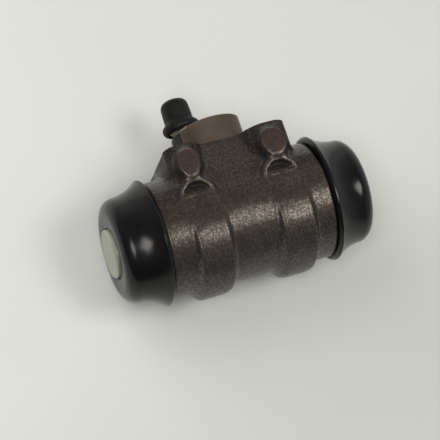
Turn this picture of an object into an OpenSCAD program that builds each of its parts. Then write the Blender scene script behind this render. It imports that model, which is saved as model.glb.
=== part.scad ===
// Drum brake wheel cylinder: a cast iron housing with two opposed pistons, dust boots and a bleed screw.
// X runs along the bore, Y is the way the mounting face looks and Z is up.
// The origin is where the axis of the pilot meets the mounting face.

/* [Barrel] */
// Diameter of the bore that the pistons slide in
bore_dia = 25.4; // [24.4:0.1:26.2]
// Outer diameter of the cast barrel
barrel_dia = 35.6; // [34.6:0.1:36.2]
// Length of the barrel between the two shoulders that the boots butt against
barrel_len = 51.7; // [50:0.1:53]
// Diameter of the turned spigot inside each boot
spigot_dia = 30.2; // [29.6:0.1:30.6]
// Length of each turned spigot
spigot_len = 5.2; // [4.8:0.1:5.8]
// Depth of the groove that holds the boot on the spigot
spigot_groove_depth = 0.7; // [0.4:0.1:1]
// Width of the groove that holds the boot on the spigot
spigot_groove_width = 2.2; // [1.6:0.1:2.6]
// Distance from the barrel shoulder to the groove
spigot_groove_offset = 0.8; // [0.5:0.1:1.2]
// Chamfer at both mouths of the bore
bore_chamfer = 0.8; // [0.4:0.1:1.2]

/* [Cast ribs] */
// Diameter of the rib that wraps the barrel under each pair of lugs
rib_dia = 35.8; // [35:0.1:37]
// Distance of the rib's centre from the bore axis, away from the mounting face
rib_shift = 2.4; // [1.6:0.1:3]
// Width of the rib on its crest
rib_crest = 8.4; // [7:0.1:9.6]
// Width of the rib at its foot
rib_foot = 13.2; // [11.6:0.1:14.4]
// Height of the sloped flanks of the rib
rib_flank = 2.8; // [2:0.1:3.4]

/* [Mounting face] */
// Distance from the bore axis to the mounting face
axis_drop = 22.5; // [21.6:0.1:23.6]
// Length of the mounting face along the bore
flange_len = 35.8; // [35:0.1:36.4]
// How far the neck stands out past the pilot at the mounting face, on each side
neck_margin = 0.2; // [0.1:0.1:1]
// Radius of the hollow corners between the neck and the lugs
web_fillet = 5; // [4:0.1:5.4]
// How far the hollow corners run inside the edge of the neck
web_bite = 0.3; // [0.2:0.05:0.5]
// Depth of the hollow corners below the mounting face
web_depth = 12.5; // [11:0.1:13.5]
// How far the sides of the neck run inside the round of the barrel
neck_bite = 0.2; // [0.1:0.05:0.4]
// Radius of the fillets between the ends of the neck and the barrel
neck_fillet = 4; // [3:0.1:4.6]
// Depth of the rails that join the lugs at each end of the mounting face
rail_depth = 6; // [4:0.5:8]
// Width of the rails that join the lugs
rail_width = 6; // [4:0.5:7]
// Diameter of the machined pilot
pilot_dia = 21.6; // [21:0.1:22.4]
// Height of the pilot above the mounting face
pilot_height = 8.1; // [7:0.1:9]
// Chamfer on the rim of the pilot
pilot_chamfer = 1.2; // [0.8:0.1:1.3]
// Offset of that chamfer toward the inlet side
pilot_chamfer_shift = 0.7; // [0.7:0.1:0.9]

/* [Lugs] */
// Distance between the lugs along the bore
lug_pitch_x = 26.2; // [25.6:0.1:26.8]
// Distance between the lugs across the bore
lug_pitch_z = 24; // [23.2:0.1:24.8]
// Diameter of the lugs
lug_dia = 10; // [9.6:0.1:10.6]
// Diameter of the tapped holes in the lugs, at the thread's crest
tap_dia = 5; // [4.6:0.1:5.6]
// Depth of the tapped holes
tap_depth = 9.5; // [8:0.1:10]
// Chamfer at the mouth of the tapped holes
tap_chamfer = 0.6; // [0.3:0.1:0.9]
// Radius of the wide end of the egg-shaped pad on each lug
pad_wide = 3.5; // [3.2:0.1:3.8]
// Radius of the narrow end of the pad
pad_narrow = 2.2; // [2:0.1:2.5]
// Distance between the centres of the two ends of the pad
pad_span = 3.2; // [2.8:0.1:3.6]
// Distance of the wide end of the pads below the mounting face
pad_drop = 6; // [5.6:0.1:6.4]
// How far the nose under each pad stands out past it, all round
nose_margin = 0.7; // [0.5:0.1:0.9]
// Distance from the face of the pad back to the face of the nose
nose_step = 0.9; // [0.5:0.1:1.3]
// Diameter of the arch under each nose
arch_dia = 11.2; // [10.4:0.1:11.6]
// Distance of the centre of the arch below the mounting face
arch_drop = 17.2; // [16.8:0.1:17.6]
// Distance from the bore axis to the face of the arch
arch_reach = 17.6; // [17.2:0.1:18]
// Thickness of the arch over its pocket
arch_rim = 1.1; // [0.8:0.1:1.5]
// Distance of the sill of the pocket below the mounting face
sill_drop = 17.4; // [17:0.1:17.8]
// Slope of the ledge from the sill up into the pocket, in degrees
ledge_slope = 30; // [26:1:34]
// Width of the neck between the nose and the arch
waist_width = 3.4; // [2.6:0.1:4.4]
// Distance from the bore axis to the face of that neck
waist_reach = 17; // [16.4:0.1:17.4]

/* [Ports] */
// Position of the inlet along the bore
inlet_x = 4; // [3.6:0.1:4.6]
// Diameter of the inlet at the thread's crest
inlet_dia = 9; // [8.4:0.1:9.2]
// Depth of the inlet thread
inlet_depth = 9.6; // [8.6:0.1:10.4]
// Chamfer at the mouth of the inlet
inlet_chamfer = 0.6; // [0.3:0.1:0.9]
// Diameter of the drilling from the inlet to the bore
inlet_drilling = 3; // [2:0.1:3.6]
// Position of the bleed screw along the bore
bleed_x = -6.8; // [-7:0.1:-6.6]
// Diameter of the bleed screw's hole
bleed_hole = 6; // [5.8:0.1:6.2]
// Depth of the bleed screw's hole down to its seat
bleed_depth = 11.4; // [10.6:0.1:12.2]
// Diameter of the drilling from the bleed seat to the bore
bleed_drilling = 2.4; // [1.8:0.1:2.8]

/* [Bleed screw] */
// Radial running clearance of the bleed screw in its hole
bleed_clearance = 0.05; // [0.03:0.01:0.08]
// Width across the flats of the hexagon
hex_flats = 7; // [6.6:0.1:7.2]
// Height of the hexagon
hex_height = 2.2; // [1.8:0.1:2.4]
// Gap between the end of the pilot and the hexagon
hex_gap = 0.5; // [0.4:0.1:0.8]
// Diameter of the nipple's stem
stem_dia = 4.4; // [4:0.1:4.8]
// Diameter of the nipple's barb
barb_dia = 5.3; // [5:0.1:5.5]
// Height of the nipple above the hexagon
nipple_height = 6.2; // [5.8:0.1:6.6]
// Diameter of the passage through the bleed screw
bleed_passage = 1.8; // [1.4:0.1:2.2]

/* [Bleed cap] */
// Diameter of the skirt
cap_skirt = 10.8; // [10.2:0.1:11.4]
// Height of the skirt's rounded edge
cap_skirt_edge = 1.6; // [1.2:0.1:2]
// Height of the flare from the edge of the skirt
cap_flare = 3.5; // [3.2:0.1:3.8]
// Diameter of the cap above the skirt
cap_base = 8.6; // [8.4:0.1:9]
// Diameter of the cap at its tip
cap_tip = 8; // [7.8:0.1:8.2]
// Height of the whole cap
cap_height = 10.6; // [10.3:0.1:10.7]
// Radius of the cap's rounded tip
cap_round = 1.7; // [1.2:0.1:2.2]
// Clearance between the cap and the nipple's barb
cap_clearance = 0.3; // [0.25:0.01:0.4]

/* [Boots] */
// Diameter over the boot's lip
boot_lip = 38.6; // [38:0.1:39]
// Radius of the round edge of the lip
boot_lip_round = 1.3; // [1.1:0.1:1.4]
// Radius of the boot's round shoulder in section
boot_round = 4.2; // [3.8:0.1:4.6]
// Distance from the barrel shoulder to the flat end of the boot
boot_len = 13.45; // [13.2:0.05:13.7]
// Diameter over the boot's round shoulder
boot_dia = 32; // [31.6:0.1:32.4]
// Radius of the hollow waist between lip and shoulder
boot_waist = 13.6; // [12.8:0.1:14.4]
// Wall of the boot
boot_wall = 1.8; // [1.6:0.1:2]
// Clearance between the boot's sleeve and the piston's head
boot_clearance = 0.3; // [0.25:0.01:0.4]
// Thickness of the sleeve that grips the piston
boot_sleeve = 1.7; // [1.4:0.1:2]

/* [Pistons] */
// Radial running clearance of the pistons in the bore
piston_clearance = 0.05; // [0.03:0.01:0.08]
// Length of the guided skirt
piston_skirt = 15; // [13.5:0.5:16]
// Distance from the centre of the housing to the inner end of the skirt
piston_start = 13.2; // [12.6:0.1:13.6]
// Diameter of the piston's stem and head
piston_head = 14.8; // [14.4:0.1:15]
// Distance from the centre of the housing to the face of the piston's head
piston_reach = 40.3; // [40:0.1:40.6]
// Thickness of the head in front of the boot's groove
head_len = 1.8; // [1.4:0.1:2]
// Width of the groove that the boot grips
head_groove_width = 2.5; // [2.2:0.1:2.8]
// Depth of the groove that the boot grips
head_groove_depth = 1.2; // [0.9:0.1:1.4]
// Chamfer on the edges of the piston
piston_chamfer = 0.5; // [0.3:0.1:0.7]

/* [Seals and spring] */
// Radial clearance of the seal cups in the bore
cup_clearance = 0.05; // [0.03:0.01:0.08]
// Length of each seal cup
cup_len = 4.8; // [4.4:0.1:5.2]
// Thickness of the base of each seal cup
cup_base = 1.8; // [1.4:0.1:2.2]
// Thickness of the lip of each seal cup at its edge
cup_lip = 1.2; // [0.9:0.1:1.5]
// Thickness of the lip of each seal cup at its root
cup_root = 2.6; // [2.2:0.1:3]
// Thickness of the pressed steel expanders
expander_gauge = 0.7; // [0.5:0.05:0.9]
// Height of each expander
expander_len = 2.4; // [1.8:0.1:2.8]
// Gap between an expander and the lip of its cup
expander_gap = 0.15; // [0.1:0.05:0.25]
// Mean diameter of the return spring
spring_dia = 13; // [12:0.1:14]
// Diameter of the spring wire
spring_wire = 1.2; // [1:0.05:1.4]
// Number of turns in the spring
spring_turns = 5.5; // [4.5:0.5:6]

/* [Hidden] */
$fn = 96;
eps = 0.01;
barrel_r = barrel_dia / 2;
bore_r = bore_dia / 2;
spigot_r = spigot_dia / 2;
shoulder_x = barrel_len / 2;
end_x = shoulder_x + spigot_len;
lug_x = lug_pitch_x / 2;
lug_z = lug_pitch_z / 2;
pad_reach = boot_lip / 2;
pad_y = axis_drop - pad_drop;
arch_y = axis_drop - arch_drop;
sill_y = axis_drop - sill_drop;
pilot_y = axis_drop + pilot_height;
pocket_dia = arch_dia - 2 * arch_rim;
neck_top = pilot_dia + 2 * neck_margin;
// Angle of the side of the neck, from the line that just bites into the barrel
neck_out = sqrt(axis_drop * axis_drop + neck_top * neck_top / 4);
neck_turn = atan2(axis_drop, neck_top / 2) - acos((barrel_r - neck_bite) / neck_out);
neck_foot = [(barrel_r - neck_bite) * sin(neck_turn), (barrel_r - neck_bite) * cos(neck_turn)];
flange_x = flange_len / 2;
lip_x = shoulder_x + boot_lip_round;
boot_end = shoulder_x + boot_len;
round_x = boot_end - boot_round;
round_r = boot_dia / 2 - boot_round;
waist_tilt = 2.5;
waist_at = [
    round_r + (boot_round + boot_waist) * cos(waist_tilt),
    round_x + (boot_round + boot_waist) * sin(waist_tilt)
];
head_r = piston_head / 2;
groove_x = piston_reach - head_len;
sleeve_in = head_r + boot_clearance;
sleeve_out = sleeve_in + boot_sleeve;
grip_x = groove_x - head_groove_width + boot_clearance;
rim_r = sleeve_in + boot_sleeve / 2;
rim_x = boot_end - boot_sleeve / 2;
cup_x = piston_start - cup_len;
seat_x = piston_start - cup_base - expander_gauge;
hex_y = pilot_y + hex_gap;
hex_top = hex_y + hex_height;
nipple_y = hex_top + nipple_height;
cap_y = hex_top + nipple_height + cap_clearance + cap_round - cap_height;
bleed_seat_y = pilot_y - bleed_depth;

// Puts a shape drawn about the centre of the bore into the frame of the mounting face
module seated() {
    translate([0, -axis_drop, 0]) children();
}

// Turns a shape drawn up the Z axis to point along X
module along_x() {
    rotate([0, 90, 0]) children();
}

// Turns a shape drawn up the Z axis to point along Y
module along_y() {
    rotate([-90, 0, 0]) children();
}

// A cast rib: a ring with sloped flanks, centred below the bore
module rib() {
    translate([0, -rib_shift, 0]) along_x() rotate_extrude() polygon([
        [bore_r, -rib_foot / 2],
        [rib_dia / 2 - rib_flank, -rib_foot / 2],
        [rib_dia / 2, -rib_crest / 2],
        [rib_dia / 2, rib_crest / 2],
        [rib_dia / 2 - rib_flank, rib_foot / 2],
        [bore_r, rib_foot / 2]
    ]);
}

// The barrel with a turned and grooved spigot at each end
module barrel() {
    groove_in = shoulder_x + spigot_groove_offset;
    groove_out = groove_in + spigot_groove_width;
    along_x() rotate_extrude() difference() {
        union() {
            translate([0, -shoulder_x]) square([barrel_r, barrel_len]);
            translate([0, -end_x]) square([spigot_r, 2 * end_x]);
        }
        for (s = [-1, 1]) {
            scale([1, s]) polygon([
                [spigot_r - spigot_groove_depth, groove_in],
                [spigot_r + 1, groove_in],
                [spigot_r + 1, groove_out],
                [spigot_r - spigot_groove_depth, groove_out]
            ]);
        }
    }
}

// The tapered neck between barrel and mounting face, with round fillets at both ends
module neck() {
    fillet_r = barrel_r + neck_fillet - neck_bite / 2;
    difference() {
        rotate([90, 0, 90]) linear_extrude(height = 2 * (flange_x + neck_fillet), center = true) polygon([
            [0, -neck_foot[1]],
            [neck_foot[0], -neck_foot[1]],
            [axis_drop, -neck_top / 2],
            [axis_drop, neck_top / 2],
            [neck_foot[0], neck_foot[1]],
            [0, neck_foot[1]]
        ]);
        for (s = [0, 1]) {
            mirror([s, 0, 0]) along_x() rotate_extrude() union() {
                translate([fillet_r, flange_x]) square([2 * axis_drop, 2 * neck_fillet]);
                translate([fillet_r, flange_x + neck_fillet]) circle(r = neck_fillet);
            }
        }
    }
}

// An egg-shaped outline with its wide end at the origin and its narrow end below
module egg(wide, narrow) {
    lean = asin((wide - narrow) / pad_span);
    flank_wide = wide - 3 * eps;
    flank_narrow = narrow - 3 * eps;
    circle(r = wide);
    translate([0, -pad_span]) circle(r = narrow);
    polygon([
        [-flank_wide * cos(lean), -flank_wide * sin(lean)],
        [-flank_narrow * cos(lean), -pad_span - flank_narrow * sin(lean)],
        [flank_narrow * cos(lean), -pad_span - flank_narrow * sin(lean)],
        [flank_wide * cos(lean), -flank_wide * sin(lean)]
    ]);
}

// One lug: a round boss up to the mounting face, a nose with its pad, a thin neck and an arch
module lug() {
    low = lug_z - lug_dia / 2;
    boss_foot = pad_y - pad_span;
    translate([0, boss_foot, lug_z]) along_y() cylinder(d = lug_dia, h = axis_drop - boss_foot);
    translate([0, pad_y, low]) linear_extrude(height = pad_reach - nose_step - low)
        egg(pad_wide + nose_margin, pad_narrow + nose_margin);
    translate([0, pad_y, low]) linear_extrude(height = pad_reach - low) egg(pad_wide, pad_narrow);
    translate([-waist_width / 2, arch_y, low]) cube([waist_width, pad_y - arch_y, waist_reach - low]);
    translate([0, arch_y, low]) cylinder(d = arch_dia, h = arch_reach - low);
}

// The pocket under the arch of one lug, with a ledge that slopes up from its sill
module pocket() {
    intersection() {
        translate([0, arch_y, 0]) cylinder(d = pocket_dia, h = 2 * arch_reach);
        translate([-arch_dia, sill_y, arch_reach]) rotate([-ledge_slope, 0, 0]) translate([0, -arch_dia, 0])
            cube([2 * arch_dia, 3 * arch_dia, arch_dia]);
    }
}

// Hollow corners that carry the mounting face from the neck out to each lug
module web() {
    near = lug_x - lug_dia / 2 - web_fillet;
    for (sx = [0, 1], sz = [0, 1]) {
        mirror([0, 0, sz]) mirror([sx, 0, 0]) translate([near, axis_drop, 0]) rotate([90, 0, 0])
            linear_extrude(height = web_depth) difference() {
                square([web_fillet + lug_dia / 4, lug_z + lug_dia / 4]);
                translate([0, neck_top / 2 + web_fillet - web_bite]) circle(r = web_fillet);
            }
    }
}

// Rails that carry the mounting face straight from lug to lug at both ends
module rails() {
    for (s = [0, 1]) {
        mirror([s, 0, 0]) translate([flange_x - rail_width, axis_drop - rail_depth, -lug_z])
            cube([rail_width, rail_depth, lug_pitch_z]);
    }
}

// The turned pilot, with a chamfer a little off its axis
module pilot() {
    chamfer_r = pilot_dia / 2 + pilot_chamfer_shift;
    translate([0, axis_drop - 4, 0]) along_y() intersection() {
        cylinder(d = pilot_dia, h = pilot_height + 4);
        translate([pilot_chamfer_shift, 0, 0]) union() {
            cylinder(r = chamfer_r + 1, h = pilot_height + 4 - pilot_chamfer - 1);
            translate([0, 0, pilot_height + 4 - pilot_chamfer - 1])
                cylinder(r1 = chamfer_r + 1, r2 = chamfer_r - pilot_chamfer, h = pilot_chamfer + 1);
        }
    }
}

// Everything that is cut out of the casting
module cuts() {
    along_x() cylinder(r = bore_r, h = 2 * end_x + 2, center = true);
    for (s = [0, 1]) {
        mirror([s, 0, 0]) translate([end_x - bore_chamfer, 0, 0]) along_x()
            cylinder(r1 = bore_r, r2 = bore_r + 2 * bore_chamfer, h = 2 * bore_chamfer);
    }
    for (sx = [-1, 1], sz = [-1, 1]) {
        translate([sx * lug_x, axis_drop, sz * lug_z]) rotate([90, 0, 0]) {
            cylinder(d = tap_dia, h = tap_depth);
            translate([0, 0, -eps]) cylinder(d1 = tap_dia + 2 * tap_chamfer, d2 = tap_dia, h = tap_chamfer);
        }
    }
    for (sx = [-1, 1], sz = [0, 1]) {
        mirror([0, 0, sz]) translate([sx * lug_x, 0, 0]) pocket();
    }
    translate([inlet_x, pilot_y, 0]) rotate([90, 0, 0]) {
        cylinder(d = inlet_dia, h = inlet_depth);
        translate([0, 0, -eps]) cylinder(d1 = inlet_dia + 2 * inlet_chamfer, d2 = inlet_dia, h = inlet_chamfer);
        translate([0, 0, inlet_depth - eps]) cylinder(d1 = inlet_dia, d2 = 1, h = (inlet_dia - 1) / 3.4);
        cylinder(d = inlet_drilling, h = pilot_y - bore_r / 2);
    }
    translate([bleed_x, pilot_y, 0]) rotate([90, 0, 0]) {
        translate([0, 0, -1]) cylinder(d = bleed_hole, h = bleed_depth + 1);
        translate([0, 0, bleed_depth - eps]) cylinder(d1 = bleed_hole, d2 = 0.6, h = (bleed_hole - 0.6) / 2);
        cylinder(d = bleed_drilling, h = pilot_y - bore_r / 2);
    }
}

// The cast iron housing, all one piece
module housing() {
    color("#4f4740") seated() difference() {
        union() {
            barrel();
            neck();
            rails();
            web();
            pilot();
            for (s = [-1, 1]) {
                translate([s * lug_x, 0, 0]) {
                    rib();
                    lug();
                    mirror([0, 0, 1]) lug();
                }
            }
        }
        cuts();
    }
}

// One piston, drawn toward +X: a guided skirt and a slim stem with a grooved head
module piston() {
    skirt_r = bore_r - piston_clearance;
    skirt_end = piston_start + piston_skirt;
    along_x() rotate_extrude() polygon([
        [0, piston_start],
        [skirt_r - piston_chamfer, piston_start],
        [skirt_r, piston_start + piston_chamfer],
        [skirt_r, skirt_end - piston_chamfer],
        [skirt_r - piston_chamfer, skirt_end],
        [head_r, skirt_end],
        [head_r, groove_x - head_groove_width],
        [head_r - head_groove_depth, groove_x - head_groove_width],
        [head_r - head_groove_depth, groove_x],
        [head_r, groove_x],
        [head_r, piston_reach - piston_chamfer],
        [head_r - piston_chamfer, piston_reach],
        [0, piston_reach]
    ]);
}

module left_piston() {
    color("#a9aa9c") seated() mirror([1, 0, 0]) piston();
}

module right_piston() {
    color("#a9aa9c") seated() piston();
}

// One seal cup, drawn toward +X with its lips to the middle of the bore
module cup() {
    cup_r = bore_r - cup_clearance;
    along_x() rotate_extrude() polygon([
        [0, piston_start - cup_base],
        [cup_r - cup_root, piston_start - cup_base],
        [cup_r - cup_lip, cup_x],
        [cup_r, cup_x],
        [cup_r, cup_x + 1],
        [cup_r - 0.3, piston_start - 0.6],
        [cup_r - 0.8, piston_start],
        [0, piston_start]
    ]);
}

module left_cup() {
    color("#1d1d1d") seated() mirror([1, 0, 0]) cup();
}

module right_cup() {
    color("#1d1d1d") seated() cup();
}

// One pressed steel expander, drawn toward +X, that spreads the lips of the cup and seats the spring
module expander() {
    wall_r = bore_r - cup_clearance - cup_root - expander_gap;
    lean = (cup_root - cup_lip) * (expander_len / (cup_len - cup_base));
    base_x = piston_start - cup_base;
    along_x() rotate_extrude() polygon([
        [0, base_x],
        [wall_r, base_x],
        [wall_r + lean, base_x - expander_len],
        [wall_r + lean - expander_gauge, base_x - expander_len],
        [wall_r - expander_gauge, base_x - expander_gauge],
        [0, base_x - expander_gauge]
    ]);
}

module left_expander() {
    color("#b5b1a2") seated() mirror([1, 0, 0]) expander();
}

module right_expander() {
    color("#b5b1a2") seated() expander();
}

// Half the radial thickness of a round wire, seen along the spring axis, a turn angle away from its centre
function wire_half(angle, pitch) = sqrt(max(0, pow(spring_wire / 2, 2) - pow(pitch * angle / 360, 2)));

// The light coil spring that keeps both cups against their pistons
module return_spring() {
    length = 2 * seat_x;
    pitch = length / spring_turns;
    reach = 180 * spring_wire / pitch;
    steps = 5;
    outer = [for (i = [-steps:steps]) let (a = reach * sin(90 * i / steps))
        (spring_dia / 2 + wire_half(a, pitch)) * [cos(a), sin(a)]];
    inner = [for (i = [steps - 1:-1:1 - steps]) let (a = reach * sin(90 * i / steps))
        (spring_dia / 2 - wire_half(a, pitch)) * [cos(a), sin(a)]];
    color("#8d8f92") seated() along_x() translate([0, 0, -length / 2])
        linear_extrude(height = length, twist = -360 * spring_turns, slices = ceil(24 * spring_turns), $fn = 20)
            polygon(concat(outer, inner));
}

// Section of a boot's outer wall, as radius against distance along the bore
module boot_wall_section() {
    difference() {
        union() {
            difference() {
                union() {
                    translate([rim_r, lip_x]) square([boot_lip / 2 - rim_r, round_x - lip_x]);
                    translate([boot_lip / 2 - boot_lip_round, lip_x]) circle(r = boot_lip_round);
                }
                translate(waist_at) circle(r = boot_waist);
            }
            translate([rim_r, shoulder_x]) square([boot_lip / 2 - boot_lip_round - rim_r, boot_lip_round + eps]);
            translate([round_r, round_x]) circle(r = boot_round);
            translate([rim_r, round_x - eps]) square([round_r - rim_r, boot_round + eps]);
        }
        translate([round_r, round_x]) circle(r = boot_round - boot_wall);
        translate([0, shoulder_x]) square([round_r, boot_len - boot_wall]);
        translate([0, shoulder_x]) square([boot_dia / 2 - boot_wall, boot_len - boot_round]);
        translate([0, shoulder_x - 1]) square([spigot_r, spigot_len + 1]);
    }
}

// Whole section of a boot: the wall, the rolled rim, the sleeve and the bead that grips the piston
module boot_section() {
    bead_r = head_r - head_groove_depth + boot_clearance;
    boot_wall_section();
    translate([rim_r, rim_x]) circle(r = boot_sleeve / 2);
    translate([sleeve_in, grip_x]) square([boot_sleeve, rim_x - grip_x]);
    translate([bead_r, grip_x]) square([sleeve_out - bead_r, head_groove_width - 2 * boot_clearance]);
}

module boot() {
    along_x() rotate_extrude() union() {
        boot_section();
    }
}

module left_boot() {
    color("#1b1c1c") seated() mirror([1, 0, 0]) boot();
}

module right_boot() {
    color("#1b1c1c") seated() boot();
}

// The bleed screw: a plain threaded shank with a cone, a hexagon and a barbed nipple
module bleed_screw() {
    shank_r = bleed_hole / 2 - bleed_clearance;
    tip_r = bleed_drilling / 2 + 0.2;
    tip_y = bleed_seat_y + 0.05;
    color("#c4c1b6") seated() translate([bleed_x, 0, 0]) difference() {
        union() {
            along_y() rotate_extrude() polygon([
                [0, tip_y - shank_r + tip_r],
                [tip_r, tip_y - shank_r + tip_r],
                [shank_r, tip_y],
                [shank_r, hex_y + eps],
                [0, hex_y + eps]
            ]);
            translate([0, hex_y, 0]) along_y() cylinder(r = hex_flats / sqrt(3), h = hex_height, $fn = 6);
            along_y() rotate_extrude() polygon([
                [0, hex_y + 1],
                [stem_dia / 2, hex_y + 1],
                [stem_dia / 2, nipple_y - 2.6],
                [barb_dia / 2, nipple_y - 2.2],
                [barb_dia / 2, nipple_y - 1.8],
                [stem_dia / 2 - 0.4, nipple_y],
                [0, nipple_y]
            ]);
        }
        translate([0, bleed_seat_y + 1.2, 0]) along_y() cylinder(d = bleed_passage, h = nipple_y);
        translate([0, bleed_seat_y + 1.6, 0]) cylinder(d = bleed_passage * 0.7, h = bleed_hole, center = true);
    }
}

// The rubber cap over the bleed screw: a rounded tip, tapered sides and a flared skirt over the hexagon
module bleed_cap() {
    top_y = cap_y + cap_height;
    color("#1f2021") seated() translate([bleed_x, 0, 0]) along_y() rotate_extrude() difference() {
        union() {
            translate([0, top_y - cap_round - eps]) square([cap_tip / 2 - cap_round, cap_round + eps]);
            translate([cap_tip / 2 - cap_round, top_y - cap_round]) circle(r = cap_round);
            polygon([
                [0, cap_y],
                [cap_skirt / 2 - cap_skirt_edge / 2, cap_y],
                [cap_skirt / 2 - cap_skirt_edge * 0.08, cap_y + cap_skirt_edge * 0.75],
                [cap_base / 2, cap_y + cap_flare],
                [cap_tip / 2, top_y - cap_round],
                [0, top_y - cap_round]
            ]);
            translate([cap_skirt / 2 - cap_skirt_edge / 2, cap_y + cap_skirt_edge / 2]) circle(d = cap_skirt_edge);
        }
        translate([-1, cap_y - 1]) square([hex_flats / sqrt(3) + cap_clearance + 1, hex_top - cap_y + 1]);
        translate([-1, cap_y]) square([barb_dia / 2 + cap_clearance + 1, nipple_y + cap_clearance - cap_y]);
        translate([-20, 0]) square([20, 2 * top_y]);
    }
}

housing();
left_piston();
right_piston();
left_cup();
right_cup();
left_expander();
right_expander();
return_spring();
left_boot();
right_boot();
bleed_screw();
bleed_cap();
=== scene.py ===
import math

import bpy
from bpy.props import FloatProperty, FloatVectorProperty, IntProperty, PointerProperty
from mathutils import Matrix, Vector


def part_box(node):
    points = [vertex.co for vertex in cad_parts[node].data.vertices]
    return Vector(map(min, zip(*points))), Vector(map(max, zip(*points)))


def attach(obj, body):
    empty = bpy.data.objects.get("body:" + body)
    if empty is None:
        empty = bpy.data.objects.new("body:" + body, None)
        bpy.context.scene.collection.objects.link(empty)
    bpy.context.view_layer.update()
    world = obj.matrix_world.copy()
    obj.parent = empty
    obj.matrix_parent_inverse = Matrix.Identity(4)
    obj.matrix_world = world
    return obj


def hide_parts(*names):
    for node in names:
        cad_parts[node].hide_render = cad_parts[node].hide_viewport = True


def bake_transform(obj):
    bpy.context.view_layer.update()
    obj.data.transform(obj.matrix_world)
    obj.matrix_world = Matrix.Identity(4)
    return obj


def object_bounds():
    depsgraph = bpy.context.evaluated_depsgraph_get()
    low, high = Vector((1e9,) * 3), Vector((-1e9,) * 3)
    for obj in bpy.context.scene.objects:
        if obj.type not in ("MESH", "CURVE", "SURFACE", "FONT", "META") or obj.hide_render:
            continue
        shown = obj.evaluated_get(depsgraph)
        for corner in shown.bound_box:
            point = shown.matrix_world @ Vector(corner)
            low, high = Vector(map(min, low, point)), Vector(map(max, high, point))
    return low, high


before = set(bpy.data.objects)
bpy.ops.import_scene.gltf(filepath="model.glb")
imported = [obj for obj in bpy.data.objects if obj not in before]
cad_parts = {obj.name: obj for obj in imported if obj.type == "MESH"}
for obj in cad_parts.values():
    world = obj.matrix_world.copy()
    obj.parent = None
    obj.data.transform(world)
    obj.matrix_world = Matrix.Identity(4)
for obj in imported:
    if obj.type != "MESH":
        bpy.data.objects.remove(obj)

bl_info = {
    "name": "Wheel Cylinder",
    "version": (1, 0, 0),
    "blender": (4, 5, 0),
    "location": "View3D > Sidebar > Wheel Cylinder",
    "description": "Models a drum brake wheel cylinder: sand casting, dust boots, bleed cap and finishes",
    "category": "Mesh",
}

CAD_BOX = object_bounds()
MM = 0.001
UP = Vector((0, 0, 1))
ALONG_X = Vector((1, 0, 0))
ALONG_Y = Vector((0, 1, 0))
HAIR = 0.01 * MM  # Places that lie closer than this count as one

# Places that the casting, the boots and the cap share with the solids
BOOT_LOW, BOOT_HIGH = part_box("right_boot")
CAP_LOW, CAP_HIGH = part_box("bleed_cap")
HOUSING_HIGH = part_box("housing")[1]
BORE_CENTRE = Vector((0, (BOOT_LOW.y + BOOT_HIGH.y) / 2, 0))
SHOULDER = BOOT_LOW.x
BORE_END = HOUSING_HIGH.x
PILOT_TOP = HOUSING_HIGH.y
BLEED_AXIS = Vector(((CAP_LOW.x + CAP_HIGH.x) / 2, 0, 0))


def linear(code):
    """Linear colour with alpha from an sRGB hex value such as 5A4E45."""
    parts = [int(code[i:i + 2], 16) / 255 for i in (0, 2, 4)]
    return tuple(p / 12.92 if p <= 0.04045 else ((p + 0.055) / 1.055) ** 2.4 for p in parts) + (1.0,)


def length(name, text, mm):
    """A size in millimetres, kept in metres."""
    return FloatProperty(name=name, description=text, default=mm * MM, min=0.0, unit="LENGTH", precision=5)


def angle(name, text, degrees):
    """An angle in degrees, kept in radians."""
    return FloatProperty(name=name, description=text, default=math.radians(degrees), subtype="ANGLE")


def number(name, text, value, unit="NONE", least=0.0):
    """A plain number, or one with a unit."""
    return FloatProperty(name=name, description=text, default=value, min=least, unit=unit)


def count(name, text, value, least=0):
    """A whole number."""
    return IntProperty(name=name, description=text, default=value, min=least)


def colour(name, text, code):
    """A colour from its sRGB hex value."""
    return FloatVectorProperty(
        name=name, description=text, default=linear(code)[:3], min=0.0, max=1.0, size=3, subtype="COLOR"
    )


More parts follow.
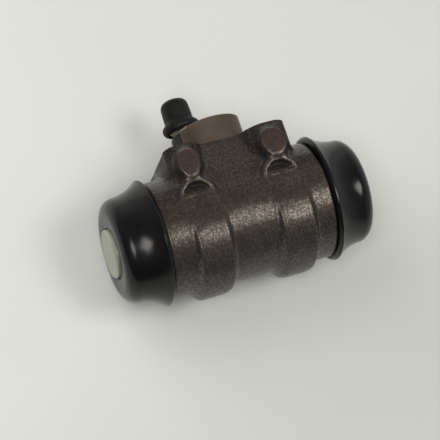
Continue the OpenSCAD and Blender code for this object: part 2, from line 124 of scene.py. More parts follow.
class CastingSettings(bpy.types.PropertyGroup):
    """Sizes and colours of the cast housing"""

    grid: length("Grid", "Spacing of the casting's mesh", 0.36)
    fillet: length("Cast fillet", "Radius that the mould leaves in the inner corners", 1.0)
    soften: count("Soften", "Smoothing passes that round the cast edges", 3)
    flanks: count("Flanks", "Smoothing passes that round the neck's ends and the lower front", 40)
    ripple: length("Ripple", "Height of the unevenness of the cast skin", 0.12)
    ripple_size: length("Ripple size", "Spacing of the unevenness of the cast skin", 2.2)
    stock: length("Stock", "Casting stock above the mounting face, milled off again", 1.2)
    bore: length("Bore", "Radius of the bore", 12.7)
    bore_chamfer: length("Bore chamfer", "Chamfer at the mouths of the bore", 0.8)
    pilot: length("Pilot", "Radius of the turned pilot", 10.8)
    pilot_chamfer: length("Pilot chamfer", "Widest part of the chamfer on the pilot's rim", 1.2)
    spigot: length("Spigot", "Radius of the turned spigots that the boots sit on", 15.1)
    groove: length("Spigot groove", "Depth of the groove in each spigot", 0.7)
    groove_start: length("Groove start", "Distance from the barrel's shoulder to the groove", 0.8)
    groove_width: length("Groove width", "Width of the groove in each spigot", 2.2)
    arch: length("Arch pocket", "Radius of the pocket under each lug", 4.5)
    arch_drop: length("Arch drop", "Distance of the middle of the pockets below the mounting face", 17.2)
    arch_reach: length("Arch reach", "Distance from the bore's axis to the face round each pocket", 17.6)
    arch_rim: length("Arch rim", "Width of the rim round each pocket", 1.6)
    arch_sink: length("Arch sink", "How far the middle of each arch lies below its face", 0.2)
    arch_lean: angle("Arch lean", "Slope of each arch towards the barrel", 12)
    arch_slope: angle("Arch slope", "Outward slope of each arch's rim", 2)
    apron: length("Apron", "Width of the ramp from each pad down to its arch", 3.4)
    apron_drop: length("Apron drop", "Distance of the ramps below the mounting face", 11.2)
    apron_reach: length("Apron reach", "Distance from the bore's axis to the middle of each ramp", 16.9)
    apron_run: length("Apron run", "Length of each ramp", 4.4)
    apron_depth: length("Apron depth", "Thickness of each ramp", 3.0)
    apron_lean: angle("Apron lean", "Slope of each ramp towards the barrel", 16)
    pad_drop: length("Pad drop", "Distance of the middle of the pads below the mounting face", 6.95)
    pad_length: length("Pad length", "Half length of the pads across the bore", 4.4)
    pad_left: length("Left pads", "Half width of the left pads", 3.5)
    pad_right: length("Right pads", "Half width of the right pads", 3.9)
    pad_shift: length("Pad shift", "How far the right pads sit to the right of their lugs", 0.8)
    pad_depth: length("Pad depth", "Thickness of the pads", 3.0)
    rib: length("Rib", "Radius of the ribs round the barrel", 18.05)
    rib_shift: length("Rib shift", "Distance of the ribs' middle in front of the bore's axis", 2.4)
    rib_width: length("Rib width", "Width of the ribs along the bore", 10.1)
    rib_side: length("Rib offset", "How far the ribs sit to the right of the lugs", 0.65)
    rib_taper: length("Rib taper", "How far the ribs' right flanks step in below the middle", 2.1)
    taper_height: length("Taper height", "Height over which the ribs' right flanks step in", 8.0)
    taper_top: length("Taper top", "Height of the top of the taper above the bore's axis", 3.0)
    sill_drop: length("Sill drop", "Distance of the pockets' sills below the mounting face", 15.9)
    sill: length("Sill", "Width of the sill below each pocket", 1.5)
    ledge: angle("Ledge", "Slope of the pocket's ledge", 30)
    thread_pitch: length("Thread pitch", "Pitch of the threads in the holes", 1.0)
    thread_depth: length("Thread depth", "Depth of the threads in the holes", 0.5)
    lug_x: length("Lugs along", "Distance of the tapped holes from the pilot along the bore", 13.1)
    lug_z: length("Lugs across", "Distance of the tapped holes from the pilot across the bore", 12.0)
    lug: length("Lug", "Radius of the lugs' bosses", 5.0)
    lug_depth: length("Lug depth", "Depth of the lugs' bosses", 8.5)
    lug_swell: length("Lug swell", "How far the right lugs swell outward", 2.1)
    tap: length("Tapped holes", "Radius of the tapped holes", 2.5)
    tap_depth: length("Tap depth", "Depth of the tapped holes", 9.5)
    tap_chamfer: length("Tap chamfer", "Chamfer at the mouth of the tapped holes", 0.6)
    inlet_x: length("Inlet place", "Place of the inlet along the bore", 4.0)
    inlet: length("Inlet", "Radius of the inlet", 4.5)
    inlet_depth: length("Inlet depth", "Depth of the inlet thread", 9.6)
    inlet_drilling: length("Inlet drilling", "Radius of the drilling from the inlet to the bore", 1.5)
    bleed: length("Bleed hole", "Radius of the bleed screw's hole", 3.0)
    bleed_depth: length("Bleed depth", "Depth of the bleed screw's hole", 11.4)
    bleed_drilling: length("Bleed drilling", "Radius of the drilling from the bleed seat to the bore", 1.2)
    skin: colour("Skin", "Brown oxide skin of the sand casting", "282220")
    skin_light: colour("Worn skin", "Rubbed skin on the high grains", "3F3835")
    pad: colour("Pads", "Rust brown of the flat pads", "382824")
    sheen: colour("Sheen", "Warm tint of the glints on the oiled skin", "FFF4E6")
    cut: colour("Machined", "Machined iron, dulled by storage oil", "63564D")
    bright: colour("Bright cut", "Fresh chamfer cut", "C9C2B8")


class BootSettings(bpy.types.PropertyGroup):
    """Sizes and colours of the dust boots"""

    lip: length("Lip", "Radius over the lip", 19.3)
    lip_round: length("Lip edge", "Radius of the lip's round edge", 1.3)
    reach: length("Length", "Distance from the barrel's shoulder to the flat end", 13.45)
    outer: length("Shoulder", "Radius over the round shoulder", 16.0)
    rounding: length("Rounding", "Radius of the round shoulder in section", 4.2)
    waist: length("Waist", "Radius of the hollow sweep from the shoulder out to the lip", 13.6)
    waist_lean: angle("Waist lean", "Slope of the shoulder where the hollow sweep begins", 2.5)
    wall: length("Wall", "Wall of the boot", 1.8)
    spigot: length("Spigot", "Radius of the spigot that the boot sits on", 15.1)
    spigot_len: length("Spigot length", "Length of the spigot that the boot sits on", 5.2)
    sleeve: length("Sleeve", "Inner radius of the sleeve round the piston", 7.7)
    sleeve_wall: length("Sleeve wall", "Wall of the sleeve round the piston", 1.7)
    bead: length("Bead", "Inner radius of the bead in the piston's groove", 6.5)
    bead_start: length("Bead start", "Distance from the middle of the bore to the bead", 36.3)
    bead_width: length("Bead width", "Width of the bead", 1.9)
    steps: count("Steps", "Steps round the boot", 128, least=24)
    rubber: colour("Rubber", "Black moulded rubber", "0A0A0B")
    bloom: colour("Bloom", "Grey bloom on the rubber", "131314")


class FittingSettings(bpy.types.PropertyGroup):
    """Sizes and colours of the bleed cap and of the pieces inside"""

    tip: length("Cap tip", "Radius of the bleed cap's tip", 4.3)
    tip_round: length("Cap rounding", "Radius of the round edge of the tip", 2.4)
    skirt_swell: length("Cap skirt", "How far the cap's skirt stands out past its solid", 0.4)
    skirt_bead: length("Cap bead", "Radius of the bead on the cap's skirt", 1.6)
    cap_rubber: colour("Cap rubber", "Black moulded rubber of the bleed cap", "0A0A0A")
    cap_dust: colour("Cap dust", "Dust on the rubber of the bleed cap", "111111")
    aluminium: colour("Aluminium", "Anodised aluminium of the pistons", "AFB2A4")
    zinc: colour("Zinc", "Zinc plate on the expanders", "B5B1A2")
    clear_zinc: colour("Clear zinc", "Clear zinc plate on the bleed screw", "C4C1B6")
    wire: colour("Wire", "Drawn spring wire", "8D8F92")
    seal: colour("Seal", "Black rubber of the seal cups", "1D1D1D")


class StageSettings(bpy.types.PropertyGroup):
    """Floor, lights and camera"""

    floor: colour("Floor", "Pale table top", "DFE1DE")
    front: number("Front", "Strength of the dim side of the room", 0.09)
    back: number("Back", "Strength of the pale side of the room", 0.84)
    ceiling: number("Ceiling", "Strength of the dimmer room overhead", 0.24)
    key: number("Key", "Power of each of the two overhead lights", 2.62, unit="POWER")
    rear: number("Rear", "Power of the light behind", 1.3, unit="POWER")
    lens: number("Lens", "Focal length in millimetres", 180.0, least=1.0)
    away: length("Camera distance", "Distance of the camera", 660.0)


def hold(obj):
    """Makes one object the only selected and active one, in object mode."""
    if bpy.context.object and bpy.context.object.mode != "OBJECT":
        bpy.ops.object.mode_set(mode="OBJECT")
    bpy.ops.object.select_all(action="DESELECT")
    if obj:
        obj.select_set(True)
    bpy.context.view_layer.objects.active = obj


def pick(obj, test):
    """Enters edit mode with the vertices selected whose places pass the test."""
    hold(obj)
    bpy.ops.object.mode_set(mode="EDIT")
    bpy.ops.mesh.select_mode(type="VERT")
    bpy.ops.mesh.select_all(action="DESELECT")
    bpy.ops.object.mode_set(mode="OBJECT")
    for vertex in obj.data.vertices:
        vertex.select = test(vertex.co)
    bpy.ops.object.mode_set(mode="EDIT")


def keep_selected(obj, test):
    """Narrows the selection in edit mode to the vertices whose places pass the test."""
    bpy.ops.object.mode_set(mode="OBJECT")
    mesh = obj.data
    kept = [vertex.select and test(vertex.co) for vertex in mesh.vertices]
    mesh.polygons.foreach_set("select", [False] * len(mesh.polygons))
    mesh.edges.foreach_set("select", [False] * len(mesh.edges))
    mesh.vertices.foreach_set("select", kept)
    bpy.ops.object.mode_set(mode="EDIT")


def finish_modifier(obj, kind, **settings):
    """Adds a modifier with its settings and applies it."""
    modifier = obj.modifiers.new(kind.title(), kind)
    for name, value in settings.items():
        setattr(modifier, name, value)
    hold(obj)
    bpy.ops.object.modifier_apply(modifier=modifier.name)


def arc(centre, radius, start, end, steps):
    """Points on a circle from one angle to another, in degrees."""
    turns = [math.radians(start + (end - start) * i / steps) for i in range(steps + 1)]
    return [(centre[0] + radius * math.cos(t), centre[1] + radius * math.sin(t)) for t in turns]


def spun(name, outline, centre, axis, steps, closed=False):
    """A turned shape: an outline of (along, out) points extruded from one vertex and spun about an axis."""
    points = [centre + axis * along + UP * out for along, out in outline]
    if closed:
        points.append(points[0])
    hold(None)
    bpy.ops.mesh.primitive_plane_add(size=MM, location=(0, 0, 0))
    piece = bpy.context.object
    piece.name = name
    piece.data.name = name
    bpy.ops.object.mode_set(mode="EDIT")
    bpy.ops.mesh.select_mode(type="VERT")
    bpy.ops.mesh.select_all(action="SELECT")
    bpy.ops.mesh.merge(type="CENTER")
    bpy.ops.transform.translate(value=points[0])
    for before, after in zip(points, points[1:]):
        bpy.ops.mesh.extrude_vertices_move(TRANSFORM_OT_translate={"value": after - before})
    bpy.ops.mesh.select_all(action="SELECT")
    bpy.ops.mesh.spin(steps=steps, angle=math.tau, center=centre, axis=axis)
    bpy.ops.mesh.select_all(action="SELECT")
    bpy.ops.mesh.remove_doubles(threshold=0.002 * MM)
    bpy.ops.mesh.normals_make_consistent(inside=False)
    bpy.ops.object.mode_set(mode="OBJECT")
    return piece


def machine(piece, tool, operation="DIFFERENCE"):
    """Cuts a tool out of a piece, or adds it, and removes the tool."""
    finish_modifier(piece, "BOOLEAN", operation=operation, solver="MANIFOLD", object=tool)
    bpy.data.objects.remove(tool, do_unlink=True)


def smooth(piece, degrees=35):
    """Smooth shading, with edges sharper than an angle kept."""
    hold(piece)
    bpy.ops.object.shade_smooth_by_angle(angle=math.radians(degrees))


def add(tree, kind, settings=None, inputs=None):
    """Adds one node: settings are its own options, inputs are values or the sockets of other nodes."""
    node = tree.nodes.new(kind)
    for name, value in (settings or {}).items():
        setattr(node, name, value)
    for name, value in (inputs or {}).items():
        socket = node.inputs[name]
        if isinstance(value, bpy.types.NodeSocket):
            tree.links.new(value, socket)
        else:
            socket.default_value = value
    return node


def material(name):
    """An empty material: its tree, its shader and its object coordinates."""
    made = bpy.data.materials.new(name)
    made.use_nodes = True
    tree = made.node_tree
    tree.nodes.clear()
    shader = add(tree, "ShaderNodeBsdfPrincipled")
    add(tree, "ShaderNodeOutputMaterial", None, {"Surface": shader.outputs[0]})
    place = add(tree, "ShaderNodeTexCoord").outputs["Object"]
    return made, tree, shader, place


def rgba(values):
    """A colour property with alpha."""
    return tuple(values) + (1.0,)


def noise(tree, place, size, detail, roughness):
    """A noise pattern with spots of one size, in metres."""
    return add(tree, "ShaderNodeTexNoise", None, {
        "Vector": place, "Scale": 1 / size, "Detail": detail, "Roughness": roughness}).outputs["Fac"]


def wave(tree, place, pitch, distortion, **settings):
    """Tool marks with one pitch, in metres: the node repeats every tau / 20 of its scaled units."""
    scale = math.tau / 20 / pitch
    return add(tree, "ShaderNodeTexWave", settings, {
        "Vector": place, "Scale": scale, "Distortion": distortion, "Detail": 1.0}).outputs["Fac"]


def ramp(tree, value, start, end, low, high, **settings):
    """Carries a value from the range start to end over to the range low to high."""
    return add(tree, "ShaderNodeMapRange", settings, {
        "Value": value, "From Min": start, "From Max": end, "To Min": low, "To Max": high}).outputs[0]


def reckon(tree, operation, *values):
    """One step of arithmetic on values or sockets."""
    return add(tree, "ShaderNodeMath", {"operation": operation}, dict(enumerate(values))).outputs[0]


def mixed(tree, share, first, second):
    """A mix of two colours."""
    return add(tree, "ShaderNodeMix", {"data_type": "RGBA"}, {0: share, 6: first, 7: second}).outputs[2]


def scaled(tree, tint, factor):
    """A colour made lighter or darker by a factor."""
    return add(tree, "ShaderNodeVectorMath", {"operation": "SCALE"}, {0: tint, "Scale": factor}).outputs[0]


def emboss(tree, shader, height, strength, depth):
    """Gives a shader a fine relief of one depth, in metres."""
    bump = add(tree, "ShaderNodeBump", None, {"Strength": strength, "Distance": depth, "Height": height})
    tree.links.new(bump.outputs[0], shader.inputs["Normal"])


def sand_cast_iron(s):
    # Sand-cast iron with its brown oxide skin: fine grain that glints in the light, with dark pits between
    made, tree, shader, place = material("sand_cast_iron")
    # The real grain of about 0.2 mm is drawn at 0.6 mm, so that it shows
    grain = noise(tree, place, 0.6 * MM, detail=2.0, roughness=0.55)
    patches = noise(tree, place, 7.0 * MM, detail=2.0, roughness=0.5)
    at = add(tree, "ShaderNodeSeparateXYZ", None, {"Vector": place}).outputs
    outward = add(tree, "ShaderNodeTexCoord").outputs["Normal"]
    facing = add(tree, "ShaderNodeSeparateXYZ", None, {"Vector": outward}).outputs
    high_up = reckon(tree, "ABSOLUTE", at["Z"])

    rubbed = mixed(tree, ramp(tree, grain, 0.42, 0.7, 0.0, 1.0), rgba(s.skin), rgba(s.skin_light))
    toned = scaled(tree, rubbed, ramp(tree, patches, 0.3, 0.7, 0.85, 1.12))
    # Painted reflection: the front, which mirrors the pale table, is painted grey, and the upper faces keep the
    # skin's brown
    painted_reflection_saturation = ramp(tree, facing["Z"], 0.6, 0.93, 0.3, 1.0)
    painted_reflection_toned = add(tree, "ShaderNodeHueSaturation", None, {"Color": toned, "Saturation": painted_reflection_saturation}).outputs[0]
    # The pads stand highest, and their flat tops keep a film of rust
    on_pad = ramp(tree, high_up, 18.85 * MM, 19.1 * MM, 0.0, 0.45)
    tree.links.new(mixed(tree, on_pad, painted_reflection_toned, rgba(s.pad)), shader.inputs["Base Color"])
    shader.inputs["Specular Tint"].default_value = rgba(s.sheen)
    tree.links.new(ramp(tree, grain, 0.4, 0.66, 0.35, 0.25), shader.inputs["Roughness"])

    shine = ramp(tree, grain, 0.42, 0.64, 0.5, 1.0)
    # Painted shade: upper faces that look along the bore have their reflection dulled
    endwise = reckon(tree, "ABSOLUTE", facing["X"])
    upper = ramp(tree, reckon(tree, "MULTIPLY_ADD", at["Y"], 0.5, at["Z"]), -7.0 * MM, 0.0, 0.0, 1.0)
    painted_end_shade = ramp(tree, reckon(tree, "MULTIPLY", endwise, upper), 0.28, 0.65, 1.0, 0.05)
    # Painted shade in the hollows round the lugs: their reflection is dulled too
    clear = ramp(tree, high_up, 16.2 * MM, 18.0 * MM, 0.25, 1.0)
    barrel = ramp(tree, at["Y"], -17.8 * MM, -16.3 * MM, 1.0, 0.0)
    above = ramp(tree, at["Y"], -12.8 * MM, -11.6 * MM, 0.0, 1.0)
    between = ramp(tree, reckon(tree, "ABSOLUTE", at["X"]), 4.0 * MM, 11.0 * MM, 1.0, 0.0)
    for open_face in (barrel, above, between):
        clear = reckon(tree, "MAXIMUM", clear, open_face)
    # The painted shade of the end faces and of the hollows together dull the reflection
    bare = reckon(tree, "MULTIPLY", painted_end_shade, clear)
    tree.links.new(reckon(tree, "MULTIPLY", shine, bare), shader.inputs["Specular IOR Level"])
    emboss(tree, shader, grain, strength=0.6, depth=0.07 * MM)
    return made


def machined_iron(s):
    # Turned and faced iron under storage oil: fine tool lines, a dull brown-grey sheen
    made, tree, shader, place = material("machined_iron")
    # The real feed of about 0.15 mm is drawn at 0.5 mm, so that it shows
    feed = 0.5 * MM
    rings = wave(tree, place, feed, distortion=0.6, wave_type="RINGS", rings_direction="Y")
    lines = wave(tree, place, feed, distortion=0.6, wave_type="BANDS", bands_direction="Y")
    film = noise(tree, place, 4.0 * MM, detail=3.0, roughness=0.6)
    tone = ramp(tree, film, 0.3, 0.7, 0.85, 1.12)
    tree.links.new(scaled(tree, tuple(s.cut), tone), shader.inputs["Base Color"])
    emboss(tree, shader, reckon(tree, "ADD", rings, lines), strength=0.25, depth=0.02 * MM)
    shader.inputs["Metallic"].default_value = 0.7
    shader.inputs["Roughness"].default_value = 0.5
    return made


def bright_cut_iron(s):
    # A fresh chamfer: bare bright iron with a soft shine
    made, tree, shader, place = material("bright_cut_iron")
    film = noise(tree, place, 1.5 * MM, detail=2.0, roughness=0.5)
    tree.links.new(ramp(tree, film, 0.3, 0.7, 0.3, 0.45), shader.inputs["Roughness"])
    shader.inputs["Base Color"].default_value = rgba(s.bright)
    shader.inputs["Metallic"].default_value = 0.8
    return made


def moulded_rubber(name, base, bloom, roughness):
    # Moulded black rubber: a semi-gloss skin with a faint grey bloom and a fine orange-peel
    made, tree, shader, place = material(name)
    cloud = noise(tree, place, 9.0 * MM, detail=4.0, roughness=0.6)
    fleck = noise(tree, place, 0.6 * MM, detail=2.0, roughness=0.5)
    share = ramp(tree, cloud, 0.4, 0.75, 0.0, 0.6)
    tree.links.new(mixed(tree, share, rgba(base), rgba(bloom)), shader.inputs["Base Color"])
    gloss = ramp(tree, cloud, 0.3, 0.7, roughness - 0.05, roughness + 0.08)
    tree.links.new(gloss, shader.inputs["Roughness"])
    emboss(tree, shader, fleck, strength=0.2, depth=0.02 * MM)
    shader.inputs["Specular IOR Level"].default_value = 0.36
    return made


def turned_metal(name, base, centre, pitch, metallic, roughness):
    # Turned metal: fine rings about the bore's axis and a satin shine
    made, tree, shader, place = material(name)
    centred = add(tree, "ShaderNodeMapping", None, {"Vector": place, "Location": tuple(-c for c in centre)})
    # The real feed of about 0.1 mm is drawn coarser, so that it shows
    rings = wave(tree, centred.outputs[0], pitch, distortion=0.4, wave_type="RINGS", rings_direction="X")
    film = noise(tree, place, 3.0 * MM, detail=3.0, roughness=0.6)
    tone = ramp(tree, film, 0.3, 0.7, 0.92, 1.05)
    tree.links.new(scaled(tree, tuple(base), tone), shader.inputs["Base Color"])
    emboss(tree, shader, rings, strength=0.15, depth=0.02 * MM)
    shader.inputs["Metallic"].default_value = metallic
    shader.inputs["Roughness"].default_value = roughness
    return made


def table_top(s):
    # Pale laminate table: matte, with a faint unevenness of tone
    made, tree, shader, place = material("pale_table_laminate")
    haze = noise(tree, place, 120.0 * MM, detail=2.0, roughness=0.5)
    tone = ramp(tree, haze, 0.3, 0.7, 0.97, 1.02)
    # Painted shade: the table is a little darker towards the front right, where the light falls off
    front_right = (0.35, -0.8, 0.0)
    forward = add(tree, "ShaderNodeVectorMath", {"operation": "DOT_PRODUCT"}, {0: place, 1: front_right})
    painted_falloff = ramp(tree, forward.outputs["Value"], 15.0 * MM, 75.0 * MM, 1.0, 0.87)
    shade = reckon(tree, "MULTIPLY", tone, painted_falloff)
    tree.links.new(scaled(tree, tuple(s.floor), shade), shader.inputs["Base Color"])
    shader.inputs["Roughness"].default_value = 0.55
    return made


def pocket_core(x, side, s):
    """The core that leaves one pocket under an arch: a round core cut off at the slope of the ledge."""
    tall = 2 * s.arch
    hold(None)
    bpy.ops.mesh.primitive_cube_add(
        size=4 * s.arch, location=(x, -s.sill_drop, side * s.arch_reach), rotation=(-side * s.ledge, 0, 0))
    slope = bpy.context.object
    bpy.ops.object.mode_set(mode="EDIT")
    bpy.ops.transform.translate(value=(0, 0, side * 2 * s.arch), orient_type="LOCAL")
    bpy.ops.object.mode_set(mode="OBJECT")
    bpy.ops.mesh.primitive_cylinder_add(
        vertices=48, radius=s.arch, depth=tall, location=(x, -s.arch_drop, side * s.arch_reach))
    core = bpy.context.object
    machine(core, slope, "INTERSECT")
    return core


def fade(distance, none, full):
    """Share that runs from 0 where a distance is at one limit to 1 at the other, both in millimetres."""
    return (distance / MM - none) / (full - none)


def flank_weight(place):
    """How much a place belongs to the rounded ends of the neck or to the soft lower front, from 0 to 1."""
    aside, forth, high = abs(place.x), place.y, abs(place.z)
    # The ends of the neck, between the mounting face and the barrel and within the noses of the lugs
    neck = min(
        fade(aside, 14.5, 16.5), fade(forth, 1.0, -1.0), fade(forth, -17.0, -13.0), fade(high, 17.4, 16.4))
    # The lower front with the ribs, clear of the barrel's ends
    front = min(fade(forth, -33.0, -36.0), fade(high, 9.0, 5.0), fade(aside, 24.0, 22.0))
    return max(0.0, min(1.0, max(neck, front)))


def post(radius, low, high, x, z, vertices):
    """Adds a round post that stands along Y from one height to another."""
    bpy.ops.mesh.primitive_cylinder_add(
        vertices=vertices, radius=radius, depth=high - low,
        location=(x, (low + high) / 2, z), rotation=(math.pi / 2, 0, 0))


def add_arch(casting, x, side, s):
    """Adds one arch as a disc with a low cone on it, both cut off at a straight sill below the pocket."""
    crown = s.arch_reach - s.arch_sink
    outer, inner = s.arch + s.arch_rim, s.arch / 2
    brow = crown - s.arch_rim * math.tan(s.arch_slope)
    cone = (outer - inner) * math.tan(s.arch_slope)
    foot = -s.sill_drop - s.sill
    for base, top, low, high in ((outer, outer, s.lug_z, brow), (outer, inner, brow, brow + cone)):
        middle = (low + high) / 2
        first, last = (base, top) if side > 0 else (top, base)
        bpy.ops.mesh.primitive_cone_add(
            vertices=64, radius1=first, radius2=last, depth=high - low, rotation=(side * s.arch_lean, 0, 0),
            location=(x, -s.arch_drop + math.sin(s.arch_lean) * (crown - middle), side * middle))
        keep_selected(casting, lambda place: place.y < foot)
        bpy.ops.transform.resize(value=(1, 0, 1), center_override=(0, foot, 0))


def add_pad(x, side, s):
    """Adds one round pad and the ramp from it down to its arch."""
    width, shift = (s.pad_right, s.pad_shift) if x > 0 else (s.pad_left, 0)
    bpy.ops.mesh.primitive_cylinder_add(
        vertices=64, radius=1, depth=1, scale=(width, s.pad_length, s.pad_depth),
        location=(x + shift, -s.pad_drop, side * (HOUSING_HIGH.z - s.pad_depth / 2)))
    bpy.ops.mesh.primitive_cube_add(
        size=1, location=(x, -s.apron_drop, side * s.apron_reach), rotation=(side * s.apron_lean, 0, 0),
        scale=(s.apron, s.apron_run, s.apron_depth))


def add_rib(casting, x, s):
    """Adds one rib, which narrows from the right below the middle."""
    middle = BORE_CENTRE + Vector((x + s.rib_side, -s.rib_shift, 0))
    flank = middle.x + s.rib_width / 2
    narrow = flank - s.rib_taper
    bpy.ops.mesh.primitive_cylinder_add(
        vertices=128, radius=s.rib, depth=s.rib_width, location=middle, rotation=(0, math.pi / 2, 0))
    keep_selected(casting, lambda place: place.x > middle.x and place.z < s.taper_top)
    bpy.ops.transform.rotate(
        value=-math.asin(s.rib_taper / s.taper_height), orient_axis="Y",
        center_override=(flank, BORE_CENTRE.y, s.taper_top))
    keep_selected(casting, lambda place: place.x < narrow)
    bpy.ops.transform.resize(value=(0, 1, 1), center_override=(narrow, 0, 0))


def raw_casting(s):
    """The sand casting before machining: the housing with its holes closed, then remeshed and rounded."""
    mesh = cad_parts["housing"].data.copy()
    casting = bpy.data.objects.new("housing_casting", mesh)
    bpy.context.scene.collection.objects.link(casting)
    hold(casting)
    bpy.ops.object.mode_set(mode="EDIT")
    bpy.ops.mesh.select_all(action="SELECT")
    bpy.ops.mesh.remove_doubles(threshold=HAIR / 10)
    pick(casting, lambda place: abs(place.y) < HAIR / 5)
    bpy.ops.transform.translate(value=(0, s.stock, 0))

    # The plugs reach into the walls of the holes and stop short of the faces
    overlap, short = 1.0 * MM, 0.1 * MM
    bore_gap, pilot_gap = 0.5 * MM, 0.6 * MM
    bpy.ops.mesh.primitive_cylinder_add(
        vertices=96, radius=s.bore + overlap, depth=2 * BORE_END - bore_gap,
        location=BORE_CENTRE, rotation=(0, math.pi / 2, 0))
    post(s.pilot - pilot_gap, BORE_CENTRE.y + s.bore, s.stock, 0, 0, vertices=64)
    for x in (-s.lug_x, s.lug_x):
        for side in (-1, 1):
            z = side * s.lug_z
            post(s.tap + overlap, -s.tap_depth - overlap, s.stock - short, x, z, vertices=32)
            add_arch(casting, x, side, s)
            add_pad(x, side, s)
            if x > 0:
                post(s.lug, -s.lug_depth, s.stock, x + s.lug_swell, z, vertices=64)
        add_rib(casting, x, s)
    bpy.ops.object.mode_set(mode="OBJECT")

    # Swelling and shrinking by one radius leaves that radius in every inner corner
    for swell in (s.fillet, -s.fillet):
        finish_modifier(casting, "REMESH", mode="VOXEL", voxel_size=s.grid)
        finish_modifier(casting, "SMOOTH", factor=0.5, iterations=2)
        finish_modifier(casting, "DISPLACE", strength=swell, mid_level=0.0)
    for x in (-s.lug_x, s.lug_x):
        for side in (-1, 1):
            machine(casting, pocket_core(x, side, s))
    finish_modifier(casting, "REMESH", mode="VOXEL", voxel_size=s.grid)
    flanks = casting.vertex_groups.new(name="flanks")
    for vertex in casting.data.vertices:
        weight = flank_weight(vertex.co)
        if weight > 0:
            flanks.add([vertex.index], weight, "REPLACE")
    finish_modifier(casting, "SMOOTH", factor=0.5, iterations=s.flanks, vertex_group="flanks")
    finish_modifier(casting, "SMOOTH", factor=0.5, iterations=s.soften)
    sand = bpy.data.textures.new("sand_ripple", "CLOUDS")
    sand.noise_scale = s.ripple_size
    sand.noise_depth = 2
    finish_modifier(casting, "DISPLACE", texture=sand, texture_coords="LOCAL", strength=s.ripple, mid_level=0.5)
    return casting


def threaded(start, end, crest, s):
    """Outline of a tapped hole from its mouth down to its end, with a groove for each turn of the thread."""
    turns = int((start - end) / s.thread_pitch)
    outline = [(start, crest)]
    for turn in range(turns):
        outline.append((start - (turn + 0.5) * s.thread_pitch, crest + s.thread_depth))
        outline.append((start - (turn + 1) * s.thread_pitch, crest))
    return outline + [(end - HAIR, crest)]


def turn_pilot(s):
    """The turned pilot, whose chamfer is cut off the axis: wide on the left and gone on the right."""
    root, undercut = -4.0 * MM, 0.4 * MM
    cut = s.pilot_chamfer
    pilot = spun("pilot", [
        (root, 0), (root, s.pilot - undercut), (-undercut / 2, s.pilot - undercut), (0, s.pilot),
        (PILOT_TOP - cut, s.pilot), (PILOT_TOP, s.pilot - cut), (PILOT_TOP, 0)],
        Vector((0, 0, 0)), ALONG_Y, 128)
    # The chamfer's foot tilts and its rim moves over until they all but meet on the right
    lean = cut / 2 - 0.03 * MM
    pick(pilot, lambda place: abs(place.y - PILOT_TOP + cut) < HAIR)
    bpy.ops.transform.translate(value=(0, lean, 0))
    bpy.ops.transform.rotate(
        value=-math.atan(lean / s.pilot), orient_axis="Z", center_override=(0, PILOT_TOP - cut + lean, 0))
    pick(pilot, lambda place: abs(place.y - PILOT_TOP) < HAIR
         and MM < math.hypot(place.x, place.z) < s.pilot - cut + HAIR)
    grow = (s.pilot - cut + lean) / (s.pilot - cut)
    bpy.ops.transform.resize(value=(grow, 1, grow), center_override=(0, PILOT_TOP, 0))
    bpy.ops.transform.translate(value=(lean, 0, 0))
    bpy.ops.object.mode_set(mode="OBJECT")
    return pilot


def machine_casting(casting, s):
    """Mills the mounting face, turns the pilot and bores and drills the casting."""
    mill = 60 * MM
    hold(None)
    bpy.ops.mesh.primitive_cube_add(size=1, location=(0, mill / 4, 0), scale=(mill, mill / 2, mill))
    bpy.ops.object.transform_apply(location=True, rotation=True, scale=True)
    machine(casting, bpy.context.object)
    machine(casting, turn_pilot(s), "UNION")

    over = 5 * MM
    wide = s.bore + 3 * over
    groove = SHOULDER + s.groove_start
    for side in (-1, 1):
        machine(casting, spun("lathe_tool", [(side * along, out) for along, out in (
            (SHOULDER, s.spigot), (SHOULDER, wide), (BORE_END + over, wide),
            (BORE_END + over, s.bore - over), (BORE_END, s.bore - over), (BORE_END, s.spigot),
            (groove + s.groove_width, s.spigot), (groove + s.groove_width, s.spigot - s.groove),
            (groove, s.spigot - s.groove), (groove, s.spigot))], BORE_CENTRE, ALONG_X, 128, closed=True))
    mouth = s.bore + s.bore_chamfer + over
    machine(casting, spun("bore", [
        (-BORE_END - over, 0), (-BORE_END - over, mouth),
        (-BORE_END + s.bore_chamfer, s.bore), (BORE_END - s.bore_chamfer, s.bore),
        (BORE_END + over, mouth), (BORE_END + over, 0)], BORE_CENTRE, ALONG_X, 128))

    # The inlet ends in a drill point and the bleed hole in a seat, and both are drilled on into the bore
    drill_point, seat = 0.59, 1.0
    bore_top = BORE_CENTRE.y + s.bore - MM
    for x, radius, depth, chamfer, drilling, slope in (
        (s.inlet_x, s.inlet, s.inlet_depth, s.tap_chamfer, s.inlet_drilling, drill_point),
        (BLEED_AXIS.x, s.bleed, s.bleed_depth, 0.0, s.bleed_drilling, seat),
    ):
        foot = PILOT_TOP - depth
        outline = [(PILOT_TOP + over, 0), (PILOT_TOP + over, radius + chamfer + over * (chamfer > 0))]
        if chamfer:
            outline += threaded(PILOT_TOP - chamfer, foot, radius, s)
        else:
            outline += [(PILOT_TOP, radius), (foot, radius)]
        outline += [(foot - (radius - drilling) * slope, drilling), (bore_top, drilling), (bore_top, 0)]
        machine(casting, spun("port", outline, Vector((x, 0, 0)), ALONG_Y, 64))
    tap_point = 0.6 * s.tap
    for x in (-s.lug_x, s.lug_x):
        for z in (-s.lug_z, s.lug_z):
            outline = [(MM, 0), (MM, s.tap + s.tap_chamfer + MM)]
            outline += threaded(-s.tap_chamfer, -s.tap_depth, s.tap, s)
            outline += [(-s.tap_depth - tap_point, 0)]
            machine(casting, spun("tap", outline, Vector((x, 0, z)), ALONG_Y, 48))


